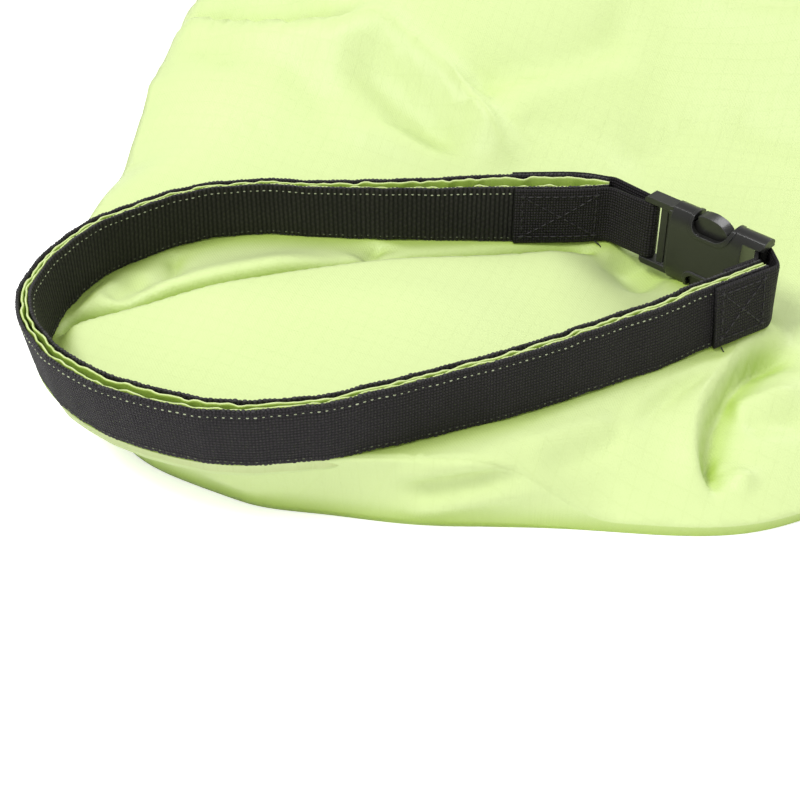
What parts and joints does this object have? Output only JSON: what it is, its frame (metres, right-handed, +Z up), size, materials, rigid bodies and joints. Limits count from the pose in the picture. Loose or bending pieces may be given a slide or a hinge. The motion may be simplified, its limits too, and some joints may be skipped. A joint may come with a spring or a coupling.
{
  "type": "stuff sack",
  "caption": "Roll-top stuff sack lying lightly filled, its webbing-bound mouth bent into a loop and closed by a side-release buckle.",
  "frame": {"origin": "on the table under the filled body, on its flat underside", "axes": "+Z up from the table, +Y away from the mouth loop towards the base, +X to the right seen from the mouth"},
  "size_m": [0.4755, 0.5749, 0.1],
  "materials": {
    "ripstop": "thin coated ripstop nylon, lime green",
    "seam_tape": "folded and felled seam of the same nylon",
    "hem": "double-folded hem of the same nylon",
    "webbing": "woven nylon webbing, black",
    "acetal": "moulded acetal, satin black"
  },
  "bodies": {
    "sack": {"body_fabric": "ripstop", "base_panel": "ripstop", "base_binding": "seam_tape", "side_seam": "seam_tape", "outer_hem": "hem", "inner_hem": "hem", "outer_webbing": "webbing", "inner_webbing": "webbing", "male_tab": "webbing", "female_tab": "webbing", "buckle_male": "acetal"},
    "female_half": {"buckle_female": "acetal"},
    "upper_arm": {"latch_arm_upper": "acetal"},
    "lower_arm": {"latch_arm_lower": "acetal"}
  },
  "joints": [
    {"name": "buckle_release", "type": "slide", "parent": "sack", "child": "female_half", "axis": [0.7145, -0.6997, 0], "range_m": [0, 0.024], "deforming": ["latch_arm_upper", "latch_arm_lower", "female_tab"]},
    {"name": "upper_arm_press", "type": "hinge", "parent": "sack", "child": "upper_arm", "pos_m": [-0.04483, -0.18868, 0.0446], "axis": [0.6997, 0.7145, 0], "range_deg": [0, 11], "stiffness_Nm_per_rad": 0.6},
    {"name": "lower_arm_press", "type": "hinge", "parent": "sack", "child": "lower_arm", "pos_m": [-0.04483, -0.18868, 0.0274], "axis": [-0.6997, -0.7145, 0], "range_deg": [0, 11], "stiffness_Nm_per_rad": 0.6}
  ]
}
